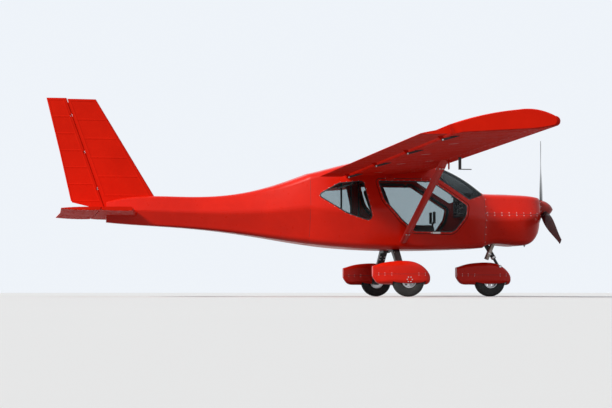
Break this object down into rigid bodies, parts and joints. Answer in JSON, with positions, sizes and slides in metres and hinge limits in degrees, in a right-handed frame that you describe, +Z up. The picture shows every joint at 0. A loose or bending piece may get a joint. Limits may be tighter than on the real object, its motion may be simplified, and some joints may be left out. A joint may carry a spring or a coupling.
{
  "type": "two-seat high-wing ultralight aircraft",
  "caption": "Strut-braced high-wing ultralight with spatted tricycle wheels, nose propeller, bubble doors hinged at the roof and a low tailplane.",
  "frame": {"origin": "on the ground under the middle of the aircraft's length, on its centre plane", "axes": "+X forward to the propeller, +Y to port, +Z up"},
  "size_m": [6.23, 9.55, 2.3499],
  "materials": {
    "red_paint": "gloss paint on moulded skins",
    "red_cloth": "doped and painted cloth over ribs",
    "red_tube": "gloss paint",
    "clear_glass": "clear blown plastic",
    "black_metal": "satin",
    "tyre_rubber": "matt",
    "rim_alloy": "satin",
    "blade_black": "gloss",
    "spinner_red": "gloss",
    "panel_black": "matt",
    "seat_cloth": "woven",
    "engine_alloy": "cast",
    "pipe_steel": "heat stained"
  },
  "bodies": {
    "airframe": {"belly": "red_paint", "roof": "red_paint", "windscreen_frame": "red_paint", "cabin_side_left": "red_paint", "cabin_side_right": "red_paint", "main_spat_left": "red_paint", "main_spat_right": "red_paint", "tail_boom": "red_paint", "cowl_upper": "red_paint", "cowl_lower": "red_paint", "wing_left": "red_cloth", "wing_right": "red_cloth", "fin": "red_cloth", "stabilizer": "red_cloth", "strut_left": "red_tube", "strut_right": "red_tube", "windscreen": "clear_glass", "skylight": "clear_glass", "quarter_window_left": "clear_glass", "quarter_window_right": "clear_glass", "main_leg_left": "black_metal", "main_leg_right": "black_metal", "flaperon_hinges_left": "black_metal", "flaperon_hinges_right": "black_metal", "nose_leg": "black_metal", "seat_frame": "black_metal", "cabin_tubes": "black_metal", "control_stick": "black_metal", "rudder_pedals": "black_metal", "airspeed_mast": "black_metal", "instrument_panel": "panel_black", "seat_cushion_left": "seat_cloth", "seat_cushion_right": "seat_cloth", "seat_back_left": "seat_cloth", "seat_back_right": "seat_cloth", "engine": "engine_alloy", "radiator": "engine_alloy", "firewall": "engine_alloy", "exhaust_pipe": "pipe_steel"},
    "propeller": {"spinner": "spinner_red", "propeller": "blade_black"},
    "wheel_left": {"main_left_tyre": "tyre_rubber", "main_left_rim": "rim_alloy"},
    "wheel_right": {"main_right_tyre": "tyre_rubber", "main_right_rim": "rim_alloy"},
    "nose_fork": {"nose_fork": "black_metal", "nose_spat": "red_paint"},
    "nose_wheel": {"nose_tyre": "tyre_rubber", "nose_rim": "rim_alloy"},
    "rudder": {"rudder": "red_cloth"},
    "elevator": {"elevator": "red_cloth", "trim_tab": "red_cloth"},
    "flaperon_left": {"flaperon_left": "red_cloth"},
    "flaperon_right": {"flaperon_right": "red_cloth"},
    "door_left": {"door_left": "red_paint", "door_glass_left": "clear_glass"},
    "door_right": {"door_right": "red_paint", "door_glass_right": "clear_glass"}
  },
  "joints": [
    {"name": "propeller_spin", "type": "hinge", "parent": "airframe", "child": "propeller", "pos_m": [2.965, 0, 1.08], "axis": [1, 0, 0], "continuous": true},
    {"name": "wheel_left_spin", "type": "hinge", "parent": "airframe", "child": "wheel_left", "pos_m": [1.055, 0.875, 0.19], "axis": [0, 1, 0], "continuous": true},
    {"name": "wheel_right_spin", "type": "hinge", "parent": "airframe", "child": "wheel_right", "pos_m": [1.055, -0.875, 0.19], "axis": [0, 1, 0], "continuous": true},
    {"name": "nose_steer", "type": "hinge", "parent": "airframe", "child": "nose_fork", "pos_m": [2.41, 0, 0.37], "axis": [-0.5095, 0, 0.8605], "range_deg": [-20, 20]},
    {"name": "nose_wheel_spin", "type": "hinge", "parent": "nose_fork", "child": "nose_wheel", "pos_m": [2.295, 0, 0.19], "axis": [0, 1, 0], "continuous": true},
    {"name": "rudder_hinge", "type": "hinge", "parent": "airframe", "child": "rudder", "pos_m": [-2.438, 0, 1.04], "axis": [-0.3307, 0, 0.9437], "range_deg": [-25, 25]},
    {"name": "elevator_hinge", "type": "hinge", "parent": "airframe", "child": "elevator", "pos_m": [-2.55, 0, 0.985], "axis": [0, 1, 0], "range_deg": [-15, 22]},
    {"name": "flaperon_left_hinge", "type": "hinge", "parent": "airframe", "child": "flaperon_left", "pos_m": [0.39938, 2, 1.42345], "axis": [0.048, 0.9984, 0.0296], "range_deg": [-30, 18]},
    {"name": "door_left_hinge", "type": "hinge", "parent": "airframe", "child": "door_left", "pos_m": [1.215, 0.544, 1.404], "axis": [1, 0, 0], "range_deg": [0, 80]},
    {"name": "flaperon_right_hinge", "type": "hinge", "parent": "airframe", "child": "flaperon_right", "pos_m": [0.39938, -2, 1.42345], "axis": [-0.048, 0.9984, -0.0296], "range_deg": [-30, 18]},
    {"name": "door_right_hinge", "type": "hinge", "parent": "airframe", "child": "door_right", "pos_m": [1.215, -0.544, 1.404], "axis": [-1, 0, 0], "range_deg": [0, 80]}
  ],
  "couplings": [
    {"joint": "rudder_hinge", "follows": "nose_steer", "ratio": -1}
  ]
}
